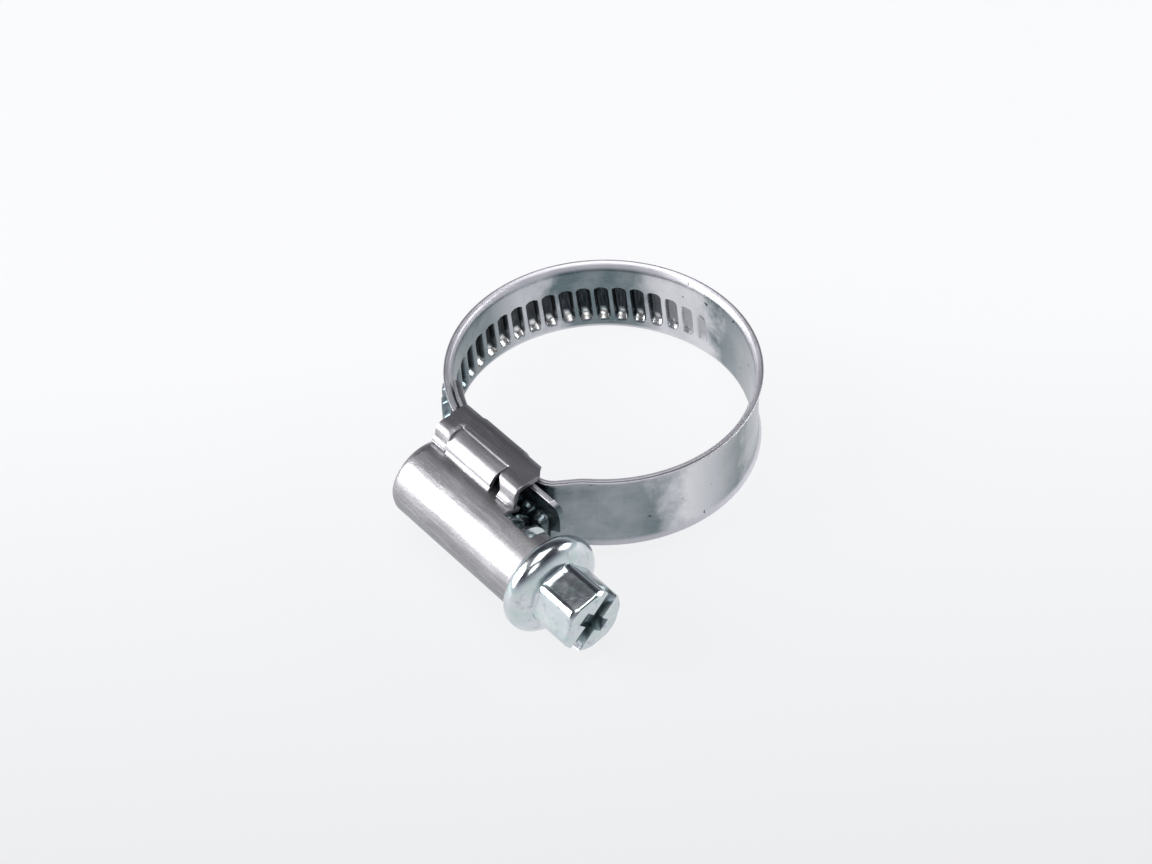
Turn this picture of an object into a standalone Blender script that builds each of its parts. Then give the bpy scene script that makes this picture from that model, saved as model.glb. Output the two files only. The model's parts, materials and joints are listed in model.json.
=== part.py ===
"""Worm-drive hose clamp with a 9 mm band, standing nearly fully open.

Every size is in millimetres and is turned into metres when a mesh is made.
The clamp is laid out in a ring frame: the ring's centre is the origin, its
axis is Z and the housing sits on the -Y side, with the screw along X and its
head at +X. One empty then carries the whole clamp to the stored origin.

The band bends as it tightens. It is built here as short rigid stretches,
each turning about the place where it meets the stretch before it.
"""
import math

import bmesh
import bpy
from mathutils import Matrix, Vector

MM = 0.001
WELD = 0.002
TURN_STEPS = 32

# Band: a 9 mm wide strip with both rims turned outwards.
BAND_WIDTH = 9.0
BAND_SHEET = 0.62
BAND_RADIUS = 15.19
RIM_WIDTH = 0.8
RIM_LIFT = 0.42
STRETCH_GAP = 0.3
STRETCH_STEPS = 8

# Teeth: pockets pressed outwards, one for each turn of the worm.
TOOTH_PITCH = 1.885
TEETH_PER_STRETCH = 5
TOOTHED_STRETCHES = 5
PLAIN_STRETCHES = 4
TIP_TEETH = 5
TOOTH_HEIGHT = 0.68
TOOTH_WIDTH = 1.5
TOOTH_LENGTH = 5.0
TOOTH_CREST = 0.5
POCKET_WIDTH = 1.15
POCKET_LENGTH = 4.46
TIP_X = 11.65
TIP_ROUNDING = 1.9
NOTCH_DEPTH = 1.4
NOTCH_MOUTH = 3.0
NOTCH_FLOOR = 2.0

# Screw: a worm, a domed collar and a slotted hexagon head on one axis.
SCREW_Y = -19.40
SCREW_Z = -1.03
WORM_CREST = 3.5
WORM_ROOT = 2.9
THREAD_RADIUS = 0.45
THREAD_START_X = -3.2
THREAD_TURNS = 8
THREAD_STEPS = 16
CORE_START_X = -3.9
CORE_CHAMFER = 0.4
COLLAR_X = 13.5
COLLAR_LENGTH = 2.8
COLLAR_RADIUS = 5.25
COLLAR_CHAMFER = 0.4
DOME_DROP = 1.5
DOME_POWER = 2.2
HEAD_X = 21.1
HEAD_ACROSS_FLATS = 6.4
HEAD_ANGLE = math.radians(12)
SLOT_WIDTH = 1.0
SLOT_DEPTH = 1.3
CROSS_LENGTH = 2.8

# Housing: one sheet folded round the band and the worm.
HOUSING_SHEET = 0.5
TUBE_RADIUS = 4.22
TUBE_BORE = 3.68
BOX_LEFT = -4.6
BOX_RIGHT = 7.9
BOX_TOP = 5.25
BOX_INNER_Y = -13.40
BOX_WALL_Y = -18.0
FOLD_RADIUS = 0.9
PANEL_LEFT = -2.2
PANEL_RIGHT = 4.9
PANEL_EDGE_Y = -16.1
PANEL_PRESS = 0.42
PANEL_LOW_Z = 3.3
SADDLE_LEFT = -1.74
SADDLE_RIGHT = 4.49
SADDLE_STEP = 0.1
LIP_EDGE_Z = 3.9
TUBE_CUT_X = 12.0
TUBE_END_X = 13.3
TUBE_CUT_Y = -19.0
BAND_CLEARANCE = 0.2
END_ROOM = 1.6
COLLAR_SEAT_Y = -17.3

# Fixed end of the band: tongue, run through the housing and bend to the ring.
FIXED_Y = -14.32
TONGUE_END = math.radians(236)
BEND_ANGLE = math.radians(56)
BEND_RADIUS = 2.0
RETURN_RADIUS = 6.0
RING_START = math.radians(-46)

# Stored origin: the middle of the bounding box's bottom face.
RING_REACH = BAND_RADIUS + BAND_SHEET / 2 + TOOTH_HEIGHT
ORIGIN = Vector((
    (HEAD_X - RING_REACH) / 2,
    (SCREW_Y - COLLAR_RADIUS + RING_REACH) / 2,
    SCREW_Z - COLLAR_RADIUS))

RING_END = math.radians(270)
STRETCH_TURN = TEETH_PER_STRETCH * TOOTH_PITCH / BAND_RADIUS
PLAIN_TURN = (RING_END - RING_START - TOOTHED_STRETCHES * STRETCH_TURN) / PLAIN_STRETCHES
TOOTH_LEAN = TOOTH_PITCH / (2 * math.pi * (WORM_CREST - TOOTH_HEIGHT / 2))

# Local X, Y and Z of an outline drawn in the YZ plane, as world Y, Z and X.
ALONG_X = Matrix(((0, 0, 1, 0), (1, 0, 0, 0), (0, 1, 0, 0), (0, 0, 0, 1)))


def clear_scene():
    for obj in list(bpy.data.objects):
        bpy.data.objects.remove(obj, do_unlink=True)


def new_collection(name):
    collection = bpy.data.collections.new(name)
    bpy.context.scene.collection.children.link(collection)
    return collection


def metal(name, colour, roughness):
    material = bpy.data.materials.new(name)
    material.use_nodes = True
    shader = material.node_tree.nodes["Principled BSDF"]
    shader.inputs["Base Color"].default_value = (*colour, 1.0)
    shader.inputs["Metallic"].default_value = 1.0
    shader.inputs["Roughness"].default_value = roughness
    return material


def add_object(name, data, collection):
    obj = bpy.data.objects.new(name, data)
    collection.objects.link(obj)
    return obj


def as_cutter(obj):
    """Hides a helper solid and hangs it on the clamp's empty."""
    obj.hide_render = True
    obj.display_type = "WIRE"
    obj.parent = CLAMP
    return obj


def as_part(obj, material, pivot=(0, 0, 0)):
    """Gives a piece its material and an origin at pivot, in the ring frame."""
    pivot = Vector(pivot) * MM
    obj.data.materials.clear()
    obj.data.materials.append(material)
    obj.data.transform(Matrix.Translation(-pivot))
    obj.location = pivot
    obj.parent = CLAMP
    return obj


def boolean(target, other, operation):
    modifier = target.modifiers.new(operation.title(), "BOOLEAN")
    modifier.operation = operation
    modifier.solver = "EXACT"
    modifier.object = other


def curve_to_mesh(obj, collection):
    """Replaces a curve by its mesh, with the caps welded to the walls."""
    bpy.context.view_layer.update()
    evaluated = obj.evaluated_get(bpy.context.evaluated_depsgraph_get())
    mesh = bpy.data.meshes.new_from_object(evaluated)
    mesh.transform(obj.matrix_world)
    name = obj.name
    bpy.data.objects.remove(obj, do_unlink=True)
    bm = bmesh.new()
    bm.from_mesh(mesh)
    bmesh.ops.remove_doubles(bm, verts=bm.verts, dist=WELD * MM)
    bmesh.ops.recalc_face_normals(bm, faces=bm.faces)
    bm.to_mesh(mesh)
    bm.free()
    return add_object(name, mesh, collection)


def poly_spline(curve, points, cyclic):
    spline = curve.splines.new("POLY")
    spline.points.add(len(points) - 1)
    for target, point in zip(spline.points, points):
        target.co = (*(Vector(point).to_3d() * MM), 1.0)
    spline.use_cyclic_u = cyclic


def extrusion(name, loops, low, high, matrix, collection):
    """Extrudes flat closed outlines from low to high along the matrix's Z."""
    curve = bpy.data.curves.new(name, "CURVE")
    curve.dimensions = "2D"
    curve.fill_mode = "BOTH"
    curve.extrude = (high - low) / 2 * MM
    for loop in loops:
        poly_spline(curve, loop, cyclic=True)
    obj = add_object(name, curve, collection)
    obj.matrix_world = matrix @ Matrix.Translation((0, 0, (low + high) / 2 * MM))
    return curve_to_mesh(obj, collection)


def block(name, low, high, collection):
    """A box between two corners, in the ring frame."""
    bm = bmesh.new()
    size = Vector(high) - Vector(low)
    middle = (Vector(high) + Vector(low)) / 2
    matrix = Matrix.Translation(middle * MM) @ Matrix.Diagonal((*(size * MM), 1.0))
    bmesh.ops.create_cube(bm, size=1.0, matrix=matrix)
    mesh = bpy.data.meshes.new(name)
    bm.to_mesh(mesh)
    bm.free()
    return add_object(name, mesh, collection)


def arc(centre, radius, start, end, steps):
    """Points on a circular arc, both ends included."""
    points = []
    for step in range(steps + 1):
        angle = start + (end - start) * step / steps
        points.append((centre[0] + radius * math.cos(angle), centre[1] + radius * math.sin(angle)))
    return points


def band_strip(name, path, collection):
    """Sweeps the band's section, with its raised rims, along a flat path."""
    half, rim, sheet = BAND_WIDTH / 2, BAND_WIDTH / 2 - RIM_WIDTH, BAND_SHEET / 2
    outer = [(sheet + RIM_LIFT, -half), (sheet, -rim), (sheet, rim), (sheet + RIM_LIFT, half)]
    inner = [(RIM_LIFT - sheet, half), (-sheet, rim), (-sheet, -rim), (RIM_LIFT - sheet, -half)]
    section = bpy.data.curves.new(name + "_section", "CURVE")
    section.dimensions = "2D"
    poly_spline(section, outer + inner, cyclic=True)
    section_object = add_object(name + "_section", section, collection)
    curve = bpy.data.curves.new(name, "CURVE")
    curve.dimensions = "2D"
    curve.bevel_mode = "OBJECT"
    curve.bevel_object = section_object
    curve.use_fill_caps = True
    poly_spline(curve, path, cyclic=False)
    strip = curve_to_mesh(add_object(name, curve, collection), collection)
    bpy.data.objects.remove(section_object, do_unlink=True)
    return strip


def ring_place(length):
    """Frame on the band at a length before (-) or after (+) the ring's lowest point.

    Its X runs along the band towards the tip and its Y points out of the ring.
    """
    if length > 0:
        along, outwards, point = Vector((1, 0, 0)), Vector((0, -1, 0)), Vector((length, -BAND_RADIUS, 0))
    else:
        angle = RING_END + length / BAND_RADIUS
        outwards = Vector((math.cos(angle), math.sin(angle), 0))
        along = Vector((-math.sin(angle), math.cos(angle), 0))
        point = outwards * BAND_RADIUS
    across = along.cross(outwards)
    turn = Matrix((along, outwards, across)).transposed().to_4x4()
    return Matrix.Translation(point * MM) @ turn


def tooth_blocks(name, numbers, width, length, low, high, collection):
    """Tapered blocks at the given tooth numbers, low to high out of the sheet's middle."""
    bm = bmesh.new()
    lean = Matrix.Rotation(-math.atan(TOOTH_LEAN), 4, "Y")
    for number in numbers:
        place = ring_place((number + 0.5) * TOOTH_PITCH)
        cube = bmesh.ops.create_cube(bm, size=1.0)["verts"]
        for vert in cube:
            taper = TOOTH_CREST if vert.co.y > 0 else 1.0
            vert.co.x *= width * taper * MM
            vert.co.z *= (length - (width * (1 - taper))) * MM
            vert.co.y = (high if vert.co.y > 0 else low) * MM
        shift = Matrix.Translation((0, 0, -SCREW_Z * MM))
        bmesh.ops.transform(bm, matrix=place @ shift @ lean, verts=cube)
    bmesh.ops.recalc_face_normals(bm, faces=bm.faces)
    mesh = bpy.data.meshes.new(name)
    bm.to_mesh(mesh)
    bm.free()
    return as_cutter(add_object(name, mesh, collection))


def press_teeth(strip, numbers):
    """Raises the bumps on the band's outside and cuts the pockets from inside."""
    sheet = BAND_SHEET / 2
    bumps = tooth_blocks(strip.name + "_bumps", numbers, TOOTH_WIDTH, TOOTH_LENGTH,
                         0, sheet + TOOTH_HEIGHT, CUTTERS)
    pockets = tooth_blocks(strip.name + "_pockets", numbers, POCKET_WIDTH, POCKET_LENGTH,
                           -2 * sheet, TOOTH_HEIGHT - sheet, CUTTERS)
    boolean(strip, bumps, "UNION")
    boolean(strip, pockets, "DIFFERENCE")


def stretch_angles():
    """Start and end angle of each ring stretch, from the fixed end round to the housing."""
    turns = [PLAIN_TURN] * PLAIN_STRETCHES + [STRETCH_TURN] * TOOTHED_STRETCHES
    angles, start = [], RING_START
    for turn in turns:
        angles.append((start, start + turn))
        start += turn
    return angles


def build_ring_stretches():
    trim = STRETCH_GAP / 2 / BAND_RADIUS
    for number, (start, end) in enumerate(stretch_angles()):
        toothed = number - PLAIN_STRETCHES
        name = f"band_toothed_{toothed + 1}" if toothed >= 0 else f"band_plain_{number + 1}"
        path = arc((0, 0), BAND_RADIUS, start + trim, end - trim, STRETCH_STEPS)
        strip = band_strip(name, path, PARTS)
        pivot = (BAND_RADIUS * math.cos(start), BAND_RADIUS * math.sin(start), 0)
        as_part(strip, BAND_STEEL, pivot)
        if toothed >= 0:
            last = (toothed - TOOTHED_STRETCHES + 1) * TEETH_PER_STRETCH
            press_teeth(strip, range(last - TEETH_PER_STRETCH, last))


def build_tip():
    """The straight toothed end of the band, under the worm and out to its notched tip."""
    path = [(STRETCH_GAP, -BAND_RADIUS), (TIP_X, -BAND_RADIUS)]
    strip = band_strip("band_tip", path, PARTS)
    as_part(strip, BAND_STEEL)
    press_teeth(strip, range(TIP_TEETH))
    half = BAND_WIDTH / 2 + 1
    corner = BAND_WIDTH / 2 - TIP_ROUNDING
    outline = [(-1, -half), (TIP_X - TIP_ROUNDING, -half), (TIP_X - TIP_ROUNDING, -BAND_WIDTH / 2)]
    outline += arc((TIP_X - TIP_ROUNDING, -corner), TIP_ROUNDING, -math.pi / 2, 0, 6)[1:]
    outline += [(TIP_X, SCREW_Z - NOTCH_MOUTH / 2), (TIP_X - NOTCH_DEPTH, SCREW_Z - NOTCH_FLOOR / 2),
                (TIP_X - NOTCH_DEPTH, SCREW_Z + NOTCH_FLOOR / 2), (TIP_X, SCREW_Z + NOTCH_MOUTH / 2)]
    outline += arc((TIP_X - TIP_ROUNDING, corner), TIP_ROUNDING, 0, math.pi / 2, 6)[:-1]
    outline += [(TIP_X - TIP_ROUNDING, BAND_WIDTH / 2), (TIP_X - TIP_ROUNDING, half), (-1, half)]
    stand = Matrix.Rotation(math.pi / 2, 4, "X")
    keep = extrusion("tip_rounding", [outline], BAND_RADIUS - 3, BAND_RADIUS + 3, stand, CUTTERS)
    boolean(strip, as_cutter(keep), "INTERSECT")


def build_fixed_end():
    """Tongue inside the ring, run through the housing, then the bend out to the ring."""
    path = arc((0, 0), -FIXED_Y, TONGUE_END, RING_END, 6)
    heading = math.pi / 2 + RING_START
    end = Vector((BAND_RADIUS * math.cos(RING_START), BAND_RADIUS * math.sin(RING_START)))
    turned = RETURN_RADIUS * Vector((math.sin(BEND_ANGLE) - math.sin(heading),
                                     math.cos(heading) - math.cos(BEND_ANGLE)))
    back = end - turned
    rise = BEND_RADIUS * (1 - math.cos(BEND_ANGLE))
    top_x = back.x - (back.y - FIXED_Y - rise) / math.tan(BEND_ANGLE)
    bend_centre = (top_x - BEND_RADIUS * math.sin(BEND_ANGLE), FIXED_Y + BEND_RADIUS)
    path += arc(bend_centre, BEND_RADIUS, -math.pi / 2, BEND_ANGLE - math.pi / 2, 6)
    return_centre = (back.x + RETURN_RADIUS * math.sin(BEND_ANGLE),
                     back.y - RETURN_RADIUS * math.cos(BEND_ANGLE))
    stop = heading + math.pi / 2 + STRETCH_GAP / RETURN_RADIUS
    path += arc(return_centre, RETURN_RADIUS, BEND_ANGLE + math.pi / 2, stop, 3)
    strip = band_strip("band_fixed_end", path, PARTS)
    as_part(strip, BAND_STEEL)


def housing_outline():
    """Outer and inner loops of the folded sheet, as points (Y, Z)."""
    bottom = SCREW_Z - TUBE_RADIUS
    quarter = math.pi / 2
    fold, inner_fold = FOLD_RADIUS, FOLD_RADIUS - HOUSING_SHEET
    outer = arc((BOX_INNER_Y - fold, bottom + fold), fold, -quarter, 0, 4)
    outer += arc((BOX_INNER_Y - fold, BOX_TOP - fold), fold, 0, quarter, 4)
    outer += arc((BOX_WALL_Y + fold, BOX_TOP - fold), fold, quarter, 2 * quarter, 4)
    join = math.acos((BOX_WALL_Y - SCREW_Y) / TUBE_RADIUS)
    outer += arc((SCREW_Y, SCREW_Z), TUBE_RADIUS, join, 3 * quarter, 20)
    inside_y = BOX_INNER_Y - HOUSING_SHEET
    inside_wall = BOX_WALL_Y + HOUSING_SHEET
    inside_z = BOX_TOP - HOUSING_SHEET
    floor_z = SCREW_Z - TUBE_BORE
    inner = arc((inside_y - inner_fold, floor_z + inner_fold), inner_fold, -quarter, 0, 3)
    inner += arc((inside_y - inner_fold, inside_z - inner_fold), inner_fold, 0, quarter, 3)
    inner += arc((inside_wall + inner_fold, inside_z - inner_fold), inner_fold, quarter, 2 * quarter, 3)
    join = math.acos((inside_wall - SCREW_Y) / TUBE_BORE)
    inner += arc((SCREW_Y, SCREW_Z), TUBE_BORE, join, 3 * quarter, 20)
    return [outer, inner]


def open_tube_outline(edge_y, shrink):
    """The tube's sheet where it is open towards the band beyond edge_y."""
    outside, inside = TUBE_RADIUS - shrink, TUBE_BORE + shrink
    outer_angle = math.acos((edge_y - SCREW_Y) / outside)
    inner_angle = math.acos((edge_y - SCREW_Y) / inside)
    full = 2 * math.pi
    loop = arc((SCREW_Y, SCREW_Z), outside, outer_angle, full - outer_angle, 20)
    loop += arc((SCREW_Y, SCREW_Z), inside, full - inner_angle, inner_angle, 20)
    return [loop]


def panel_outline():
    """The part of the box's outer corner that is pressed in."""
    bite = 0.08
    quarter = math.pi / 2
    high, wall = BOX_TOP - PANEL_PRESS, BOX_WALL_Y + PANEL_PRESS
    loop = [(PANEL_EDGE_Y + bite, high - HOUSING_SHEET), (PANEL_EDGE_Y + bite, high)]
    loop += arc((wall + FOLD_RADIUS, high - FOLD_RADIUS), FOLD_RADIUS, quarter, 2 * quarter, 4)
    loop += [(wall, PANEL_LOW_Z - 2 * bite), (wall + HOUSING_SHEET, PANEL_LOW_Z - 2 * bite)]
    inner_fold = FOLD_RADIUS - HOUSING_SHEET
    loop += arc((wall + FOLD_RADIUS, high - FOLD_RADIUS), inner_fold, 2 * quarter, quarter, 3)
    return [loop]


def build_housing():
    shear, overlap, past = 0.1, 0.05, 1.0
    housing = extrusion("housing", housing_outline(), BOX_LEFT, BOX_RIGHT, ALONG_X, PARTS)
    inner = BOX_INNER_Y - HOUSING_SHEET - shear
    beyond = BOX_INNER_Y + past
    left, right = BOX_LEFT - past, BOX_RIGHT + past
    room = BAND_WIDTH / 2 + BAND_CLEARANCE
    under_band = FIXED_Y - BAND_SHEET
    windows = [
        ("left_window", (left, inner, -LIP_EDGE_Z), (SADDLE_LEFT, beyond, LIP_EDGE_Z)),
        ("right_window", (SADDLE_RIGHT, inner, -LIP_EDGE_Z), (right, beyond, LIP_EDGE_Z)),
        ("bend_room", (BOX_RIGHT - END_ROOM, under_band, -room), (right, beyond, room)),
        ("tongue_room", (left, FIXED_Y, -room), (BOX_LEFT + END_ROOM, beyond, room)),
        ("panel_room", (PANEL_LEFT - shear, BOX_WALL_Y - past, PANEL_LOW_Z),
         (PANEL_RIGHT + shear, PANEL_EDGE_Y, BOX_TOP + past))]
    for name, low, high in windows:
        boolean(housing, as_cutter(block(name, low, high, CUTTERS)), "DIFFERENCE")
    sections = [
        ("panel", panel_outline(), PANEL_LEFT, PANEL_RIGHT),
        ("tube_cut", open_tube_outline(TUBE_CUT_Y, overlap / 2), BOX_RIGHT - overlap, TUBE_CUT_X + overlap),
        ("tube_end", open_tube_outline(COLLAR_SEAT_Y, 0.0), TUBE_CUT_X, TUBE_END_X)]
    for name, loops, low, high in sections:
        run = extrusion(name, loops, low, high, ALONG_X, CUTTERS)
        boolean(housing, as_cutter(run), "UNION")
    plate = block("saddle_plate", (SADDLE_LEFT + SADDLE_STEP, BOX_INNER_Y - HOUSING_SHEET / 2, -LIP_EDGE_Z),
                  (SADDLE_RIGHT - SADDLE_STEP, BOX_INNER_Y + SADDLE_STEP, LIP_EDGE_Z), CUTTERS)
    boolean(housing, as_cutter(plate), "UNION")
    as_part(housing, HOUSING_STEEL)


def turned(name, profile, collection):
    """Turns a closed profile of (X, radius) points about the screw's axis."""
    mesh = bpy.data.meshes.new(name)
    bm = bmesh.new()
    verts = [bm.verts.new((x * MM, radius * MM, 0)) for x, radius in profile]
    for first, second in zip(verts, verts[1:]):
        bm.edges.new((first, second))
    bm.to_mesh(mesh)
    bm.free()
    obj = add_object(name, mesh, collection)
    screw = obj.modifiers.new("Turn", "SCREW")
    screw.axis = "X"
    screw.steps = TURN_STEPS
    screw.render_steps = TURN_STEPS
    screw.use_merge_vertices = True
    screw.merge_threshold = 0.00001
    return curve_to_mesh(obj, collection)


def move_to_screw_axis(obj):
    obj.data.transform(Matrix.Translation((0, SCREW_Y * MM, SCREW_Z * MM)))
    return obj


def build_thread():
    """The worm's right-hand thread, sunk into the core at both ends."""
    curve = bpy.data.curves.new("thread", "CURVE")
    curve.dimensions = "3D"
    curve.bevel_depth = THREAD_RADIUS * MM
    curve.bevel_resolution = 1
    curve.use_fill_caps = True
    spline = curve.splines.new("POLY")
    count = THREAD_TURNS * THREAD_STEPS
    spline.points.add(count)
    first_turn = THREAD_START_X / TOOTH_PITCH
    for step, point in enumerate(spline.points):
        turn = first_turn + step / THREAD_STEPS
        sunk = THREAD_RADIUS * (1 - min(1, step / 6, (count - step) / 6))
        radius = WORM_CREST - THREAD_RADIUS - sunk
        angle = 2 * math.pi * turn
        point.co = (TOOTH_PITCH * turn * MM, radius * math.cos(angle) * MM,
                    radius * math.sin(angle) * MM, 1.0)
    return curve_to_mesh(add_object("thread", curve, CUTTERS), CUTTERS)


def build_screw():
    top = COLLAR_X + COLLAR_LENGTH
    dome = [(COLLAR_X + COLLAR_LENGTH * t, COLLAR_RADIUS - DOME_DROP * t ** DOME_POWER)
            for t in (0.35, 0.6, 0.8, 1.0)]
    profile = [(CORE_START_X, 0), (CORE_START_X, WORM_ROOT - CORE_CHAMFER),
               (CORE_START_X + CORE_CHAMFER, WORM_ROOT), (COLLAR_X, WORM_ROOT),
               (COLLAR_X, COLLAR_RADIUS - COLLAR_CHAMFER),
               (COLLAR_X + COLLAR_CHAMFER, COLLAR_RADIUS), *dome, (top, 0)]
    screw = turned("worm_screw", profile, PARTS)
    boolean(screw, as_cutter(move_to_screw_axis(build_thread())), "UNION")
    corner = HEAD_ACROSS_FLATS / math.sqrt(3)
    hexagon = [(corner * math.cos(HEAD_ANGLE + k * math.pi / 3),
                corner * math.sin(HEAD_ANGLE + k * math.pi / 3)) for k in range(6)]
    head = extrusion("head", [hexagon], top - 1, HEAD_X, ALONG_X, CUTTERS)
    boolean(screw, as_cutter(move_to_screw_axis(head)), "UNION")
    slot_turn = HEAD_ANGLE + math.pi / 6
    floor = HEAD_X - SLOT_DEPTH
    for name, turn, length in (("slot", slot_turn, 9.0), ("cross", slot_turn + math.pi / 2, CROSS_LENGTH)):
        cutter = block(name, (floor, -length / 2, -SLOT_WIDTH / 2),
                       (HEAD_X + 1, length / 2, SLOT_WIDTH / 2), CUTTERS)
        cutter.data.transform(Matrix.Rotation(turn, 4, "X"))
        boolean(screw, as_cutter(move_to_screw_axis(cutter)), "DIFFERENCE")
    move_to_screw_axis(screw)
    as_part(screw, SCREW_STEEL, (0, SCREW_Y, SCREW_Z))


clear_scene()
PARTS = new_collection("hose_clamp")
CUTTERS = new_collection("cutters")
CLAMP = bpy.data.objects.new("clamp_frame", None)
PARTS.objects.link(CLAMP)
BAND_STEEL = metal("band_steel", (0.62, 0.66, 0.67), 0.3)
HOUSING_STEEL = metal("housing_steel", (0.66, 0.65, 0.68), 0.36)
SCREW_STEEL = metal("screw_steel", (0.72, 0.76, 0.76), 0.2)
build_housing()
build_screw()
build_fixed_end()
build_ring_stretches()
build_tip()
CLAMP.location = -ORIGIN * MM
bpy.context.view_layer.update()
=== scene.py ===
import json
import math

import bmesh
import bpy
import numpy as np
from mathutils import Matrix, Quaternion, Vector

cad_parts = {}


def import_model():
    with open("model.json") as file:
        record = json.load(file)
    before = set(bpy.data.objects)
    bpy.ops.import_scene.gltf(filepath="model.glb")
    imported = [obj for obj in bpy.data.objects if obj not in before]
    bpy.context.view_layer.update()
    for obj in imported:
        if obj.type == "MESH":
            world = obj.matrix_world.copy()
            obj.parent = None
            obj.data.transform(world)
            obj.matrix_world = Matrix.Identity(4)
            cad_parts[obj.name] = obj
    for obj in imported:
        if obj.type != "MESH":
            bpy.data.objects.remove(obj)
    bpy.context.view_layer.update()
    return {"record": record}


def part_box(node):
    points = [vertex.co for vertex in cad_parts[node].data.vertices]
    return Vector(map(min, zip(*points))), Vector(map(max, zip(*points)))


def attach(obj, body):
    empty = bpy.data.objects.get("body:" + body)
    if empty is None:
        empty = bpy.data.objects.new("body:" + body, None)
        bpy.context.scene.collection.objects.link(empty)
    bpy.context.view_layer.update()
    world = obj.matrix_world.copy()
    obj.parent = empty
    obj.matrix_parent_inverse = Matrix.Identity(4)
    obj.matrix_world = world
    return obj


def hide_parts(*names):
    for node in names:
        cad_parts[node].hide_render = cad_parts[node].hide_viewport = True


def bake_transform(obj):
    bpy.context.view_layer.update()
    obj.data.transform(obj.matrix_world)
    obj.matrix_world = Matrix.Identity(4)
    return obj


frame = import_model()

# ---------------------------------------------------------------- frame
# Shapes are laid out in millimetres in a ring frame: origin at the ring's
# centre, Z along the hose, the screw along X with its head at +X.
MM = 0.001
JOINTS = {joint["name"]: joint for joint in frame["record"]["behaviour"]["joints"]}
PLAIN = [f"band_plain_{k}" for k in (1, 2, 3, 4)]
TOOTHED = [f"band_toothed_{k}" for k in (1, 2, 3, 4, 5)]
STRETCHES = PLAIN + TOOTHED


def hinge_of(stretch):
    """The hinge at the start of a stretch of the band."""
    return Vector(JOINTS[stretch.replace("band_", "") + "_bend"]["pos_m"])


def circle_through(first, second, third):
    """Centre of the circle through three points in one horizontal plane."""
    rows = [2 * (second - first).xy, 2 * (third - first).xy]
    sides = [second.xy.length_squared - first.xy.length_squared,
             third.xy.length_squared - first.xy.length_squared]
    x, y = np.linalg.solve(np.array(rows), np.array(sides))
    return Vector((x, y, first.z))


RING_CENTRE = circle_through(*[hinge_of(STRETCHES[k]) for k in (0, 3, 6)])
BAND_RADIUS = (hinge_of(STRETCHES[0]) - RING_CENTRE).length / MM
SCREW_AXIS = (Vector(JOINTS["screw_turn"]["pos_m"]) - RING_CENTRE) / MM
COLLAR_X, SCREW_Y, SCREW_Z = SCREW_AXIS


def local(point):
    """A world point in the ring frame."""
    return (Vector(point) - RING_CENTRE) / MM


def world(point):
    """A ring-frame point in the world."""
    return Vector(point) * MM + RING_CENTRE


HEAD_X = local(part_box("worm_screw")[1]).x
CORE_X = local(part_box("worm_screw")[0]).x
HOUSING_LOW, HOUSING_HIGH = (local(corner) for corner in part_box("housing"))
TIP_X = local(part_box("band_tip")[1]).x
HALF_WIDTH = (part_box("band_tip")[1].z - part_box("band_tip")[0].z) / MM / 2

# ---------------------------------------------------------------- band sizes (mm)
SHEET = 0.6                  # thickness
EDGE_SHARE = 0.9             # the rounded edges take this share of the thickness
RIM_START = 3.55             # height at which the rims begin to turn outwards
RIM_LIFT = 0.525             # how far they would be out a little past the edge
RIM_PAST = 0.35              # how far past the edge that is

PITCH = 1.885                # one tooth for each turn of the worm
TEETH_BEHIND = 25            # teeth from the ring's end back round the ring
TEETH_AHEAD = 5              # teeth from there to the tip
TOOTH_RISE = 0.74
TOOTH_SHIFT = 0.19 * PITCH   # the teeth sit this far towards the tip
THREAD_RADIUS = 3.2
LEAN = PITCH / (2 * math.pi * THREAD_RADIUS)   # slope of the worm's thread
INNER_SIDE = (0.44, 0.80)    # where a pocket's side slopes, from its middle
OUTER_SIDE = (0.45, 0.92)    # the same for the bulge on the outer face
INNER_UPPER = (2.1, 2.42)    # where a pocket's upper end slopes, above the screw's height
INNER_LOWER = (1.35, 2.3)    # where its longer lower end slopes, below that height
OUTER_END = (1.9, 2.75)      # where both ends of the bulge slope
HIGHLIGHT_FROM = (1 - TEETH_BEHIND, 8 - TEETH_BEHIND)   # teeth over which the painted highlights on the lower ends grow
HIGHLIGHT_TO = (-12, -8.5)      # teeth over which those painted highlights fade again, near the housing

FIXED_Y = -14.32             # Y of the fixed end's straight run
TONGUE_ANGLE = math.radians(34)
BEND_ANGLE, BEND_RADIUS, RETURN_RADIUS = math.radians(56), 2.0, 6.0
START_ANGLE = -46            # where the ring begins, in degrees
RING_TURN = 316              # from there to the end of the ring, in degrees

TIP_REACH = 2.9              # length over which the tip is shaped
TIP_CORNER = 2.3
NOTCH_DEPTH = 1.5
NOTCH_SIDE = (0.9, 2.0)      # where the notch's side slopes, from its middle

SECTION_STEP, BEND_STEP = 0.4, 0.15   # distance of the points along the plain strip and its bends
WELD = 0.000001              # metres


# ---------------------------------------------------------------- mesh helpers
def smooth_step(low, high, value):
    """0 below low, 1 above high, and a smooth rise between them."""
    t = np.clip((value - low) / (high - low), 0, 1)
    return t * t * (3 - 2 * t)


def make_object(name, data):
    obj = bpy.data.objects.new(name, data)
    bpy.context.scene.collection.objects.link(obj)
    return obj


def grid_object(name, points, faces, runs=None, shades=None):
    """An object from ring-frame points and faces, with an optional map run and attribute pocket, which
    holds painted shade and painted highlights.
    """
    mesh = bpy.data.meshes.new(name)
    mesh.from_pydata([world(p) for p in points], [], faces)
    if runs is not None:
        layer = mesh.uv_layers.new(name="run")
        for loop in mesh.loops:
            layer.data[loop.index].uv = runs[loop.vertex_index]
        # Attribute pocket carries painted shade (above 0) and painted highlights (below 0).
        mesh.attributes.new("pocket", "FLOAT", "POINT").data.foreach_set("value", shades)
    mesh.validate()
    return make_object(name, mesh)


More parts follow.
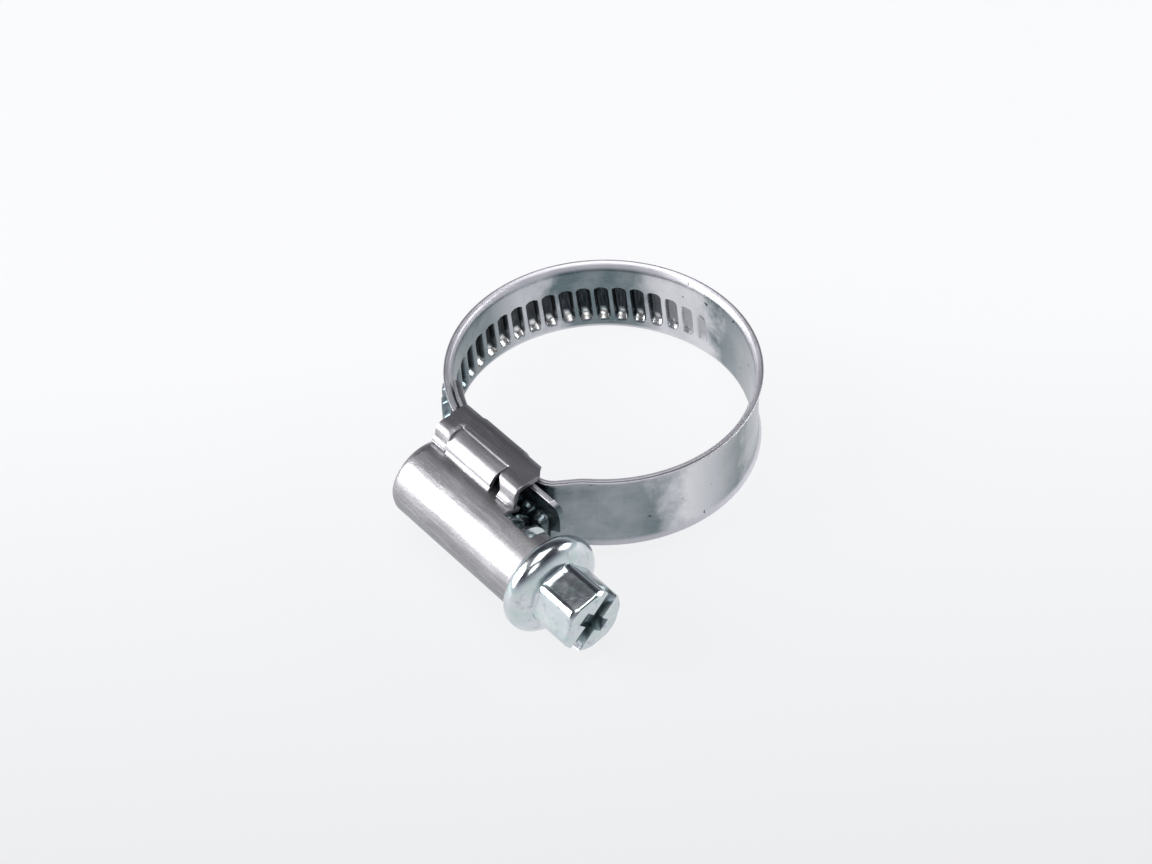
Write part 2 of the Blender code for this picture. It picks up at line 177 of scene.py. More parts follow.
def clean(obj, distance=WELD / 20):
    """Drops unused points, welds those closer than a distance in metres and turns all faces outwards."""
    bm = bmesh.new()
    bm.from_mesh(obj.data)
    unused = [vertex for vertex in bm.verts if not vertex.link_faces]
    bmesh.ops.delete(bm, geom=unused, context="VERTS")
    bmesh.ops.remove_doubles(bm, verts=bm.verts, dist=distance)
    bmesh.ops.recalc_face_normals(bm, faces=bm.faces)
    bm.to_mesh(obj.data)
    bm.free()


def apply_modifiers(obj):
    bpy.context.view_layer.update()
    evaluated = obj.evaluated_get(bpy.context.evaluated_depsgraph_get())
    mesh = bpy.data.meshes.new_from_object(evaluated)
    obj.modifiers.clear()
    obj.data = mesh


def shade(obj, angle):
    """Smooth shading, with edges sharper than an angle in degrees kept sharp."""
    obj.data.shade_smooth()
    obj.data.set_sharp_from_angle(angle=math.radians(angle))


def bevel(obj, width, angle):
    modifier = obj.modifiers.new("Edges", "BEVEL")
    modifier.width = width * MM
    modifier.segments = 2
    modifier.limit_method = "ANGLE"
    modifier.angle_limit = math.radians(angle)


def cut(obj, cutter):
    modifier = obj.modifiers.new("Cut", "BOOLEAN")
    modifier.operation = "DIFFERENCE"
    modifier.solver = "EXACT"
    modifier.object = cutter
    apply_modifiers(obj)
    bpy.data.objects.remove(cutter, do_unlink=True)


# ---------------------------------------------------------------- materials
# Painted reflection: the strip's tones where it would mirror dark and bright surroundings.
REFLECTION_DARK, REFLECTION_LIGHT = (0.10, 0.145, 0.16), (0.72, 0.72, 0.76)
# The rims' colour on this line is a painted sheen on their turned-out lips.
COAT_LINE, RIM_SHEEN = (0.50, 0.52, 0.54), (0.68, 0.66, 0.71)
# Painted shade inside the pockets, lighter painted streaks in it, and painted highlights on the pockets'
# lower ends.
POCKET_PAINTED_SHADE, POCKET_PAINTED_STREAK, POCKET_PAINTED_HIGHLIGHT = (0.001, 0.003, 0.005), (0.035, 0.04, 0.047), (0.88, 0.87, 0.84)
PIT_DARK = (0.05, 0.06, 0.06)
SATIN_DARK, SATIN_LIGHT = (0.32, 0.316, 0.33), (0.43, 0.423, 0.436)
SATIN_GRAIN, SATIN_LINE = (0.24, 0.235, 0.25), (0.60, 0.59, 0.61)
# Painted shade: the first darkens the housing's top, the second its lower half.
SATIN_TOP_SHADE, SATIN_LOWER_SHADE = (0.17, 0.168, 0.185), (0.22, 0.235, 0.255)
ZINC_GREEN, ZINC_BLUE, ZINC_PALE = (0.53, 0.62, 0.62), (0.64, 0.67, 0.71), (0.70, 0.73, 0.72)
# The purplish colour on this line is a painted reflection of dark surroundings.
# The slot's colour on this line is painted shade.
ZINC_DARK_REFLECTION, SLOT_PAINTED_SHADE = (0.36, 0.35, 0.45), (0.05, 0.085, 0.09)

# Painted reflection: where round the ring the strip is painted lighter or darker, as it would mirror
# bright and dark surroundings: angle in degrees and lightness.
PAINTED_REFLECTION = ((-75, 0.2), (-36, 0.25), (-24, 0.15), (-16, 0.5), (-7, 0.9), (4, 0.6), (18, 0.12),
        (26, 0.4), (45, 0.5), (72, 0.3), (85, 0.15), (95, 0.85), (115, 0.9), (126, 0.1),
        (154, 0.05), (163, 0.55), (175, 0.65), (192, 0.1), (270, 0.1))


def tree_of(name):
    material = bpy.data.materials.new(name)
    material.use_nodes = True
    tree = material.node_tree
    return material, tree, tree.nodes["Principled BSDF"]


def link(tree, source, target):
    tree.links.new(source, target)


def noise(tree, vector, scale, detail=4.0, rough=0.55):
    node = tree.nodes.new("ShaderNodeTexNoise")
    node.inputs["Scale"].default_value = scale
    node.inputs["Detail"].default_value = detail
    node.inputs["Roughness"].default_value = rough
    link(tree, vector, node.inputs["Vector"])
    return node.outputs["Fac"]


def stretched(tree, source, scale):
    """A vector scaled by a different number along each axis."""
    node = tree.nodes.new("ShaderNodeMapping")
    node.inputs["Scale"].default_value = scale
    link(tree, source, node.inputs["Vector"])
    return node.outputs["Vector"]


def remap(tree, value, low, high, new_low, new_high):
    """A value from low to high moved to new_low to new_high, and held there beyond them."""
    node = tree.nodes.new("ShaderNodeMapRange")
    node.inputs["From Min"].default_value = low
    node.inputs["From Max"].default_value = high
    node.inputs["To Min"].default_value = new_low
    node.inputs["To Max"].default_value = new_high
    link(tree, value, node.inputs["Value"])
    return node.outputs["Result"]


def maths(tree, operation, first, second):
    """One sum on two sockets or numbers."""
    node = tree.nodes.new("ShaderNodeMath")
    node.operation = operation
    for socket, value in zip(node.inputs, (first, second)):
        if isinstance(value, (int, float)):
            socket.default_value = value
        else:
            link(tree, value, socket)
    return node.outputs["Value"]


def mixed(tree, factor, first, second):
    """A blend from the first colour to the second."""
    node = tree.nodes.new("ShaderNodeMix")
    node.data_type = "RGBA"
    link(tree, factor, node.inputs["Factor"])
    for key, colour in (("A", first), ("B", second)):
        socket = next(s for s in node.inputs if s.name == key and s.type == "RGBA")
        if isinstance(colour, tuple):
            socket.default_value = (*colour, 1)
        else:
            link(tree, colour, socket)
    return next(s for s in node.outputs if s.type == "RGBA")


def bumped(tree, shader, height, distance):
    node = tree.nodes.new("ShaderNodeBump")
    node.inputs["Distance"].default_value = distance * MM
    node.inputs["Strength"].default_value = 1.0
    link(tree, height, node.inputs["Height"])
    link(tree, node.outputs["Normal"], shader.inputs["Normal"])


def painted_reflection_tone(tree, along, clouds):
    """Painted reflection: the strip's lightness at each place along it, from the table of painted
    reflection above, with random cloudy variation added.
    """
    whole = RING_END + TIP_X
    share = maths(tree, "MULTIPLY", along, 1 / whole)
    share = maths(tree, "ADD", share, remap(tree, clouds, 0.3, 0.7, -0.012, 0.012))
    ramp = tree.nodes.new("ShaderNodeValToRGB")
    link(tree, share, ramp.inputs["Fac"])
    stops = ramp.color_ramp.elements
    for stop, light in zip(stops, (PAINTED_REFLECTION[0][1], PAINTED_REFLECTION[-1][1])):
        stop.color = (light, light, light, 1)
    for angle, light in PAINTED_REFLECTION:
        where = (RING_START + math.radians(angle - START_ANGLE) * BAND_RADIUS) / whole
        stops.new(where).color = (light, light, light, 1)
    return maths(tree, "ADD", ramp.outputs["Color"], remap(tree, clouds, 0.35, 0.65, -0.1, 0.1))


def band_metal():
    """Rolled zinc-coated strip: lengthwise lines, painted reflections round the ring with random cloudy
    variation, painted shade and painted highlights at the pockets, a painted sheen on the rims, and a few
    pits.
    """
    material, tree, shader = tree_of("band_steel_visual")
    run = tree.nodes.new("ShaderNodeUVMap")
    run.uv_map = "run"
    split = tree.nodes.new("ShaderNodeSeparateXYZ")
    link(tree, run.outputs["UV"], split.inputs["Vector"])
    place = tree.nodes.new("ShaderNodeTexCoord").outputs["Object"]
    pocket = tree.nodes.new("ShaderNodeAttribute")
    pocket.attribute_name = "pocket"
    lines = noise(tree, stretched(tree, run.outputs["UV"], (0.35, 9.0, 1.0)), 1.0, 5.0)
    streak_highlights = noise(tree, stretched(tree, run.outputs["UV"], (6.0, 0.5, 1.0)), 1.0, 3.0)
    clouds = noise(tree, place, 330.0, 5.0, 0.6)
    grain = noise(tree, place, 9000.0, 3.0)
    spots = remap(tree, noise(tree, place, 1250.0, 2.0, 0.4), 0.735, 0.765, 0.0, 1.0)
    # Painted reflection round the ring.
    tone = mixed(tree, painted_reflection_tone(tree, split.outputs["X"], clouds), REFLECTION_DARK, REFLECTION_LIGHT)
    tone = mixed(tree, remap(tree, lines, 0.35, 0.7, 0.0, 0.12), tone, COAT_LINE)
    # Painted sheen: the rims are painted lighter, as their turned-out lips would catch the light.
    rim = remap(tree, maths(tree, "ABSOLUTE", split.outputs["Y"], 0.0), 3.75, 4.05, 0.0, 0.8)
    tone = mixed(tree, rim, tone, RIM_SHEEN)
    # Painted shade inside the pockets, on the tongue and at the rims' outer corners, then painted
    # highlights on the pockets' lower ends.
    inside = mixed(tree, remap(tree, streak_highlights, 0.4, 0.65, 0.0, 1.0), POCKET_PAINTED_SHADE, POCKET_PAINTED_STREAK)
    dark = maths(tree, "MAXIMUM", maths(tree, "MULTIPLY", pocket.outputs["Fac"], 0.95), 0.0)
    light = maths(tree, "MAXIMUM", maths(tree, "MULTIPLY", pocket.outputs["Fac"], -0.85), 0.0)
    tone = mixed(tree, dark, tone, inside)
    tone = mixed(tree, light, tone, POCKET_PAINTED_HIGHLIGHT)
    tone = mixed(tree, spots, tone, PIT_DARK)
    link(tree, tone, shader.inputs["Base Color"])
    shader.inputs["Metallic"].default_value = 1.0
    rough = maths(tree, "ADD", remap(tree, clouds, 0.3, 0.7, 0.20, 0.30),
                  remap(tree, lines, 0.3, 0.7, 0.0, 0.08))
    rough = maths(tree, "ADD", rough, maths(tree, "MULTIPLY", rim, 0.25))
    link(tree, rough, shader.inputs["Roughness"])
    height = maths(tree, "ADD", maths(tree, "MULTIPLY", lines, 0.6), maths(tree, "MULTIPLY", grain, 0.4))
    height = maths(tree, "SUBTRACT", height, maths(tree, "MULTIPLY", spots, 0.8))
    bumped(tree, shader, height, 0.012)
    return material


def housing_metal():
    """Satin pressed sheet: grain and drawing lines along the tube, with painted shade darkening its top
    and its lower half.
    """
    material, tree, shader = tree_of("housing_steel_visual")
    place = tree.nodes.new("ShaderNodeTexCoord").outputs["Object"]
    split = tree.nodes.new("ShaderNodeSeparateXYZ")
    link(tree, place, split.inputs["Vector"])
    grain = noise(tree, place, 5200.0, 4.0, 0.6)
    lines = noise(tree, stretched(tree, place, (250.0, 2600.0, 2600.0)), 1.0, 3.0)
    clouds = noise(tree, place, 220.0, 3.0)
    tone = mixed(tree, remap(tree, clouds, 0.35, 0.65, 0.0, 1.0), SATIN_DARK, SATIN_LIGHT)
    tone = mixed(tree, remap(tree, grain, 0.4, 0.6, 0.0, 0.55), tone, SATIN_GRAIN)
    tone = mixed(tree, remap(tree, lines, 0.5, 0.7, 0.0, 0.5), tone, SATIN_LINE)
    # Painted shade on the top faces.
    top = HOUSING_HIGH.z * MM + RING_CENTRE.z
    top_shade = remap(tree, split.outputs["Z"], top - 0.0008, top - 0.0001, 0.0, 0.6)
    tone = mixed(tree, top_shade, tone, SATIN_TOP_SHADE)
    # Painted shade below the screw's axis.
    middle = SCREW_Z * MM + RING_CENTRE.z
    lower_shade = remap(tree, split.outputs["Z"], middle + 0.001, middle - 0.001, 0.0, 0.5)
    tone = mixed(tree, lower_shade, tone, SATIN_LOWER_SHADE)
    link(tree, tone, shader.inputs["Base Color"])
    shader.inputs["Metallic"].default_value = 1.0
    link(tree, remap(tree, grain, 0.3, 0.7, 0.32, 0.48), shader.inputs["Roughness"])
    height = maths(tree, "ADD", maths(tree, "MULTIPLY", grain, 0.7), maths(tree, "MULTIPLY", lines, 0.5))
    bumped(tree, shader, height, 0.022)
    return material


def screw_metal():
    """Bright blue-passivated zinc with small dents, random purplish patches of painted reflection, and
    painted shade deep in the slot.
    """
    material, tree, shader = tree_of("screw_steel_visual")
    place = tree.nodes.new("ShaderNodeTexCoord").outputs["Object"]
    slot = tree.nodes.new("ShaderNodeAttribute")
    slot.attribute_name = "slot"
    clouds = noise(tree, place, 420.0, 4.0)
    tint = noise(tree, place, 700.0, 2.0)
    dents = noise(tree, place, 1900.0, 3.0)
    reflection_patches = noise(tree, place, 1100.0, 3.0, 0.6)
    tone = mixed(tree, remap(tree, tint, 0.35, 0.65, 0.0, 1.0), ZINC_GREEN, ZINC_BLUE)
    tone = mixed(tree, remap(tree, clouds, 0.5, 0.7, 0.0, 0.5), tone, ZINC_PALE)
    # Painted reflection of dark surroundings, in random purplish patches.
    tone = mixed(tree, remap(tree, reflection_patches, 0.55, 0.72, 0.0, 0.6), tone, ZINC_DARK_REFLECTION)
    # Painted shade deep in the slot.
    tone = mixed(tree, maths(tree, "MULTIPLY", slot.outputs["Fac"], 0.85), tone, SLOT_PAINTED_SHADE)
    link(tree, tone, shader.inputs["Base Color"])
    shader.inputs["Metallic"].default_value = 1.0
    link(tree, remap(tree, clouds, 0.3, 0.7, 0.12, 0.24), shader.inputs["Roughness"])
    bumped(tree, shader, dents, 0.006)
    return material


def paint(obj, material):
    obj.data.materials.clear()
    obj.data.materials.append(material)


# ---------------------------------------------------------------- band path
def band_segments():
    """Lengths and curvatures from the tongue's end, through the ring, to the tip."""
    start = math.radians(START_ANGLE)
    heading = start + math.pi / 2
    end = BAND_RADIUS * Vector((math.cos(start), math.sin(start)))
    back = end - RETURN_RADIUS * Vector((math.sin(BEND_ANGLE) - math.sin(heading),
                                         math.cos(heading) - math.cos(BEND_ANGLE)))
    rise = back.y - FIXED_Y - BEND_RADIUS * (1 - math.cos(BEND_ANGLE))
    slope_length = rise / math.sin(BEND_ANGLE)
    bend_x = back.x - slope_length * math.cos(BEND_ANGLE) - BEND_RADIUS * math.sin(BEND_ANGLE)
    return [(-FIXED_Y * TONGUE_ANGLE, -1 / FIXED_Y),
            (bend_x, 0.0),
            (BEND_RADIUS * BEND_ANGLE, 1 / BEND_RADIUS),
            (slope_length, 0.0),
            (RETURN_RADIUS * (BEND_ANGLE - heading), -1 / RETURN_RADIUS),
            (BAND_RADIUS * math.radians(RING_TURN), 1 / BAND_RADIUS),
            (TIP_X, 0.0)]


SEGMENTS = band_segments()
TONGUE_LENGTH = SEGMENTS[0][0]
RING_START = sum(length for length, _ in SEGMENTS[:5])
RING_END = RING_START + SEGMENTS[5][0]
TEETH_ZERO = RING_END + TOOTH_SHIFT
TEETH_FIRST = TEETH_ZERO - TEETH_BEHIND * PITCH
TEETH_LAST = TEETH_ZERO + TEETH_AHEAD * PITCH


def path_nodes():
    """Start length, point, heading and curvature of each segment of the band's middle line."""
    angle = math.radians(270) - TONGUE_ANGLE
    point = -FIXED_Y * Vector((math.cos(angle), math.sin(angle)))
    heading, start, nodes = angle + math.pi / 2 - 2 * math.pi, 0.0, []
    for length, bend in SEGMENTS:
        nodes.append((start, point, heading, bend))
        point, heading = travel(point, heading, bend, length)
        start += length
    return nodes


def travel(point, heading, bend, length):
    """Point and heading after a length of a line or an arc."""
    if abs(bend) < 1e-9:
        return point + length * Vector((math.cos(heading), math.sin(heading))), heading
    turned = heading + bend * length
    step = Vector((math.sin(turned) - math.sin(heading), math.cos(heading) - math.cos(turned))) / bend
    return point + step, turned


NODES = path_nodes()


def band_place(length):
    """Point and outward direction on the band's middle line."""
    start, point, heading, bend = [node for node in NODES if node[0] <= max(length, 0) + 1e-9][-1]
    point, heading = travel(point, heading, bend, length - start)
    return point, Vector((math.sin(heading), -math.cos(heading)))


# ---------------------------------------------------------------- band surface
def fade_in(number):
    """The first few teeth are shallower: a share that grows to 1 at the fifth tooth."""
    return float(smooth_step(-0.6, 4, math.floor(number) + TEETH_BEHIND))


def tooth_offsets(length, z):
    """How far the inner and the outer face stand out of the flat strip."""
    number = (length - TEETH_ZERO) / PITCH
    if not -TEETH_BEHIND < number < TEETH_AHEAD:
        return 0.0, 0.0
    u = (number - math.floor(number) - 0.5) * PITCH
    v = z - SCREW_Z
    grow = fade_in(number)
    rise = TOOTH_RISE * (0.5 + 0.5 * grow)
    arch = 0.45 * u * u + 0.7 * (1 - grow)
    ends = (1 - smooth_step(*INNER_UPPER, v + arch)) * (1 - smooth_step(*INNER_LOWER, -v + arch))
    inner = (1 - smooth_step(*INNER_SIDE, abs(u))) * ends
    outer = (1 - smooth_step(*OUTER_SIDE, abs(u))) * (1 - smooth_step(*OUTER_END, abs(v) + 0.3 * u * u))
    return rise * float(inner), rise * float(outer)


def rows(toothed, rounded):
    """Heights of the strip's points from rim to rim, closer together round the pockets' ends."""
    rim = [RIM_START, 3.8, 4.02, 4.2, 4.36]
    if toothed:
        lower = [-3.78, -3.6, -3.42, -3.28, -3.14, -3.0, -2.86, -2.72, -2.56, -2.36, -1.8]
        upper = [-0.2, 0.5, 0.84, 0.98, 1.08, 1.18, 1.28, 1.4, 1.54, 1.7, 2.3, 2.9]
        middle = lower + [SCREW_Z] + upper
    else:
        middle = [-2.8, -1.9, -0.9, 0.0, 0.9, 1.9, 2.8]
    low = [-z for z in reversed(rim)]
    heights = [z for z in low if z < middle[0] - 0.05] + middle + rim
    if rounded:
        extra = [k * 0.2 for k in range(-21, 22)]
        extra = [z for z in extra if min(abs(z - h) for h in heights) > 0.07]
        heights = sorted(heights + extra)
    return heights


def section(toothed, rounded):
    """The strip's closed section as (height, side): -1 is the inner face and 1 the outer face."""
    heights = rows(toothed, rounded)
    edge = [(0.35, -0.72), (0.85, -0.4), (1.0, 0.0), (0.85, 0.4), (0.35, 0.72)]
    top = heights[-1]
    reach = HALF_WIDTH - top
    loop = [(z, -1.0) for z in heights]
    loop += [(top + reach * out, side * EDGE_SHARE) for out, side in edge]
    loop += [(z, 1.0) for z in reversed(heights)]
    loop += [(-top - reach * out, -side * EDGE_SHARE) for out, side in edge]
    return loop, len(heights), len(edge)


def lift(z):
    """How far the rims turn outwards."""
    return RIM_LIFT * float(smooth_step(RIM_START - 0.1, HALF_WIDTH + RIM_PAST, abs(z)))


def stations(start, end):
    """Lengths along the band at which its section is placed."""
    across = [0.0, 0.2, 0.38, 0.46, 0.53, 0.60, 0.67, 0.74, 0.83, PITCH / 2]
    marks = {round(start + k * SECTION_STEP, 5) for k in range(int((end - start) / SECTION_STEP) + 1)}
    marks = {m for m in marks if not TEETH_FIRST < m < TEETH_LAST}
    for number in range(-TEETH_BEHIND, TEETH_AHEAD):
        middle = TEETH_ZERO + (number + 0.5) * PITCH
        marks.update(round(middle + side * u, 5) for u in across for side in (-1, 1))
    for bend_start, _, _, bend in NODES:
        if abs(bend) > 0.1:
            marks.update(round(bend_start + BEND_STEP * k, 5) for k in range(15))
    inside = sorted(m for m in marks if start + 0.02 < m < end - 0.02)
    return [start] + inside + [end]


def lean_at(length):
    """The teeth lean with the worm's thread, and so do the lines of points round them."""
    begun = smooth_step(TEETH_FIRST - 3, TEETH_FIRST, length)
    ended = smooth_step(TEETH_LAST, TEETH_LAST + 1.2, length)
    return LEAN * float(begun * (1 - ended))


def painted_shade_and_highlight(length, z, side):
    """Attribute pocket: up to 1 where the strip gets painted shade, and down to -1 where it gets a
    painted highlight.

    It is painted in shade inside the pockets, on both faces of the tongue and along the rims' outer
    corners, and gets painted highlights on the pockets' sloping lower ends, most of all in the middle of
    the toothed part.
    """
    if length < TONGUE_LENGTH and abs(side) > 0.3:
        return 0.8
    if side > -0.9:
        return 0.8 if abs(z) > 4.37 and 0.3 < side < 0.8 else 0.0
    inner, _ = tooth_offsets(length, z)
    number = (length - TEETH_ZERO) / PITCH
    grow = fade_in(number)
    share = inner / TOOTH_RISE / (0.5 + 0.5 * grow)
    across = abs(number - math.floor(number) - 0.5) * PITCH
    slope_top = -1.15 - 1.2 * across - 0.2 * (1 - grow)
    above = smooth_step(slope_top, slope_top + 0.2, z - SCREW_Z)
    bright = smooth_step(0.05, 0.3, share) * (1 - above)
    bright *= (0.25 + 0.75 * smooth_step(*HIGHLIGHT_FROM, number)) * (1 - smooth_step(*HIGHLIGHT_TO, number))
    dark = (0.3 + 0.7 * grow) * smooth_step(0.3, 0.8, share) * above
    return float(dark - bright)


def band_point(length, z, side):
    """Ring-frame point of the strip's surface."""
    shifted = length + lean_at(length) * (z - SCREW_Z)
    point, outwards = band_place(shifted)
    inner, outer = tooth_offsets(length, z)
    share = (side + 1) / 2
    offset = lift(z) + side * SHEET / 2 + inner * (1 - share) + outer * share
    place = point + outwards * offset
    return (place.x, place.y, z)


def band_piece(name, start, end, toothed, shape=None):
    """One closed stretch of the strip, from start to end along the band."""
    loop, count, edge = section(toothed, shape is not None)
    marks = stations(start, end)
    points, runs, shades = [], [], []
    for length in marks:
        for z, side in loop:
            used = length if shape is None else shape(length, z)
            points.append(band_point(used, z, side))
            runs.append((used, z))
            shades.append(painted_shade_and_highlight(used, z, side))
    size = len(loop)
    faces = []
    for i in range(len(marks) - 1):
        for j in range(size):
            k = (j + 1) % size
            faces.append((i * size + j, i * size + k, (i + 1) * size + k, (i + 1) * size + j))
    for base, flip in ((0, False), ((len(marks) - 1) * size, True)):
        for j in range(count - 1):
            a, b = base + j, base + j + 1
            c, d = base + 2 * count + edge - 2 - j, base + 2 * count + edge - 1 - j
            faces.append((a, d, c, b) if flip else (a, b, c, d))
        for first, far in ((count - 1, count + edge), (2 * count + edge - 1, size)):
            ring = [base + k % size for k in range(first, far + 1)]
            faces.append(tuple(ring[::-1]) if flip else tuple(ring))
    obj = grid_object(name, points, faces, runs, shades)
    clean(obj)
    shade(obj, 50)
    return obj


def tip_shape(length, z):
    """Pulls the strip's end in to the tip's two rounded lobes and the notch between them."""
    end = RING_END + TIP_X
    t = max(0.0, (length - (end - TIP_REACH)) / TIP_REACH)
    over = max(0.0, abs(z) - (HALF_WIDTH - TIP_CORNER)) / TIP_CORNER
    rounding = TIP_CORNER * (1 - math.sqrt(max(0.0, 1 - min(over, 1.0) ** 2)))
    notch = NOTCH_DEPTH * float(1 - smooth_step(*NOTCH_SIDE, abs(z - SCREW_Z)))
    return length - t * max(rounding, notch)


def build_band(material):
    """Eleven closed strips: nine are left unparented, each holding one hinge, and two ride on one body
    each.
    """
    spokes = [hinge_of(stretch) - RING_CENTRE for stretch in STRETCHES]
    hinges = [RING_START]
    for turn in np.diff([math.atan2(spoke.y, spoke.x) for spoke in spokes]):
        hinges.append(hinges[-1] + BAND_RADIUS * (turn % (2 * math.pi)))
    ends = hinges + [RING_END]
    middles = [(a + b) / 2 for a, b in zip(ends, ends[1:])]
    cuts = [0.0] + middles
    for k, hinge in enumerate(hinges):
        name = "band_fixed_run" if k == 0 else f"band_ring_run_{k}"
        piece = band_piece(name, cuts[k], cuts[k + 1], cuts[k + 1] > TEETH_FIRST - 3)
        paint(piece, material)
        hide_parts("band_fixed_end" if k == 0 else STRETCHES[k - 1])
        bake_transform(piece)
    feed = band_piece("band_feed_run", middles[-1], RING_END + 0.05, True)
    paint(feed, material)
    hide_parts(STRETCHES[-1])
    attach(feed, STRETCHES[-1])
    tip = band_piece("band_tip_run", RING_END + 0.3, RING_END + TIP_X, True, tip_shape)
    paint(tip, material)
    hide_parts("band_tip")
    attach(tip, "band_tip")


# ---------------------------------------------------------------- screw (mm)
COLLAR_RADIUS = (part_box("worm_screw")[1].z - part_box("worm_screw")[0].z) / MM / 2
COLLAR_LENGTH = 2.75
COLLAR_EDGE, COLLAR_FLAT = 0.95, 0.35    # the rim's rounding towards the tube, and its flat
DOME_TOP = 3.45                          # radius at which the dome meets the hexagon
ACROSS_FLATS = 6.4
HEX_ROUNDING = 1.1
HEX_CHAMFER = 0.5
HEAD_ANGLE = math.radians(12)
SLOT_WIDTH, SLOT_DEPTH = 1.6, 1.4
CROSS_LENGTH, CROSS_WIDTH, CROSS_DEPTH = 3.6, 1.4, 1.35

WORM_CREST, WORM_ROOT, WORM_NECK = 3.5, 2.85, 2.7
THREAD_ROOT_HALF, THREAD_CREST_HALF = 0.42, 0.17   # half widths of the ridge
THREAD_START, THREAD_TURNS = -3.3, 8.1
HEAD_STEPS, CORE_STEPS, THREAD_STEPS = 240, 72, 40   # points round each of them


def hexagon_radius(angle, across):
    """Radius of a hexagon with softly rounded corners."""
    turn = (angle - HEAD_ANGLE) % (math.pi / 3)
    from_corner = min(turn, math.pi / 3 - turn)
    centre = (across / 2 - HEX_ROUNDING) * 2 / math.sqrt(3)
    reach = math.atan2(HEX_ROUNDING / 2, centre + HEX_ROUNDING * math.sqrt(3) / 2)
    if from_corner > reach:
        return across / 2 / math.cos(math.pi / 6 - from_corner)
    side = centre * math.sin(from_corner)
    return centre * math.cos(from_corner) + math.sqrt(HEX_ROUNDING ** 2 - side ** 2)


def head_rings():
    """Rings of the collar from its back face to the hexagon: x, round radius, share of hexagon."""
    inset = COLLAR_RADIUS - COLLAR_EDGE
    rings = [(COLLAR_X, 0.0, 0.0), (COLLAR_X, WORM_ROOT, 0.0), (COLLAR_X, inset, 0.0)]
    for k in range(1, 7):
        angle = math.pi / 2 * k / 6
        x = COLLAR_X + COLLAR_EDGE * (1 - math.cos(angle))
        rings.append((x, COLLAR_RADIUS - COLLAR_EDGE * (1 - math.sin(angle)), 0.0))
    dome_start = COLLAR_X + COLLAR_EDGE + COLLAR_FLAT
    dome = COLLAR_LENGTH - COLLAR_EDGE - COLLAR_FLAT
    rings.append((dome_start - COLLAR_FLAT / 2, COLLAR_RADIUS + 0.01, 0.0))
    for k in range(15):
        t = k / 14
        x = dome_start + dome * (1 - (1 - t) ** 1.3)
        radius = COLLAR_RADIUS - (COLLAR_RADIUS - DOME_TOP) * t ** 1.8
        rings.append((x, radius, float(smooth_step(0.75, 1.0, t))))
    return rings


def head_profile():
    """The head's outline as (x, radius at an angle), from the collar's back face to the end face."""
    def collar(r, share):
        return lambda a: r * (1 - share) + share * max(r, hexagon_radius(a, ACROSS_FLATS))

    def chamfered(inset, cap, share=1.0):
        return lambda a: share * min(hexagon_radius(a, ACROSS_FLATS) - inset, cap)

    corner = hexagon_radius(HEAD_ANGLE, ACROSS_FLATS)
    corner_cut, flat_cut = 0.32, 0.12
    hex_start = COLLAR_X + COLLAR_LENGTH
    profile = [(x, collar(r, share)) for x, r, share in head_rings()]
    for x in (hex_start + 0.12, hex_start + 0.8, hex_start + 2.0, HEAD_X - HEX_CHAMFER):
        profile.append((x, chamfered(0.0, corner)))
    for k in range(1, 9):
        t = k / 8
        inset = flat_cut * max(0.0, (t - 0.6) / 0.4) ** 2
        profile.append((HEAD_X - HEX_CHAMFER * (1 - t), chamfered(inset, corner - corner_cut * t ** 1.6)))
    for share in (0.93, 0.6, 0.3, 0.0):
        end_x = HEAD_X + 0.02 * (1 - share)
        profile.append((end_x, chamfered(flat_cut, corner - corner_cut, share)))
    return profile


def rings_of(profile, steps, first_angle=0.0, base=0):
    """Points and faces of a surface round the screw's axis, from (x, radius at an angle)."""
    points, faces = [], []
    for x, radius in profile:
        for k in range(steps):
            angle = first_angle + 2 * math.pi * k / steps
            r = radius(angle)
            points.append((x, SCREW_Y + r * math.cos(angle), SCREW_Z + r * math.sin(angle)))
    for i in range(len(profile) - 1):
        for k in range(steps):
            m = (k + 1) % steps
            row, after = base + i * steps, base + (i + 1) * steps
            faces.append((row + k, row + m, after + m, after + k))
    return points, faces


def build_head():
    head = grid_object("screw_head", *rings_of(head_profile(), HEAD_STEPS, HEAD_ANGLE))
    clean(head, WELD)
    return head


def slot_cutter(name, turn, length, width, depth):
    bm = bmesh.new()
    place = Matrix.Translation(world((HEAD_X, SCREW_Y, SCREW_Z))) @ Matrix.Rotation(turn, 4, "X")
    size = Matrix.Diagonal((2 * depth * MM, length * MM, width * MM, 1))
    bmesh.ops.create_cube(bm, size=1.0, matrix=place @ size)
    mesh = bpy.data.meshes.new(name)
    bm.to_mesh(mesh)
    bm.free()
    return make_object(name, mesh)


